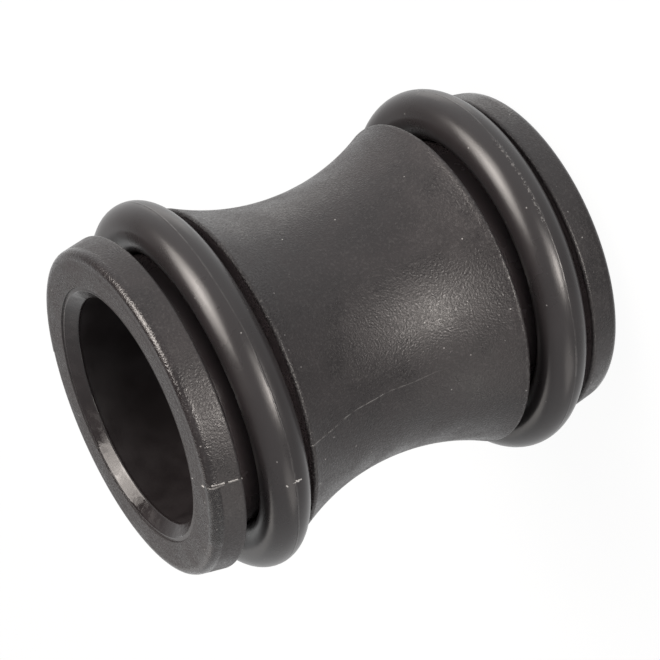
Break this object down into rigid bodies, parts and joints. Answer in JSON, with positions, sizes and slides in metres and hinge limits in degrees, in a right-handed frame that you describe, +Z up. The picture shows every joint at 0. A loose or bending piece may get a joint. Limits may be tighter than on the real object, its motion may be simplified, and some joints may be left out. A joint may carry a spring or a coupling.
{
  "type": "coolant connector pipe",
  "caption": "Short waisted plug-in pipe with an open bore and an O-ring in a groove near each end, joining two coolant housings face to face.",
  "frame": {"origin": "centre of the lower end face, on the pipe's axis", "axes": "+Z up the pipe's axis, +X through the mould seam that the picture shows, +Y square to both"},
  "size_m": [0.0352, 0.0352, 0.0425],
  "materials": {
    "moulded_plastic": "fine matt grain",
    "ring_rubber": "satin"
  },
  "bodies": {
    "root": {"connector_pipe": "moulded_plastic", "upper_o_ring": "ring_rubber", "lower_o_ring": "ring_rubber"}
  },
  "joints": []
}
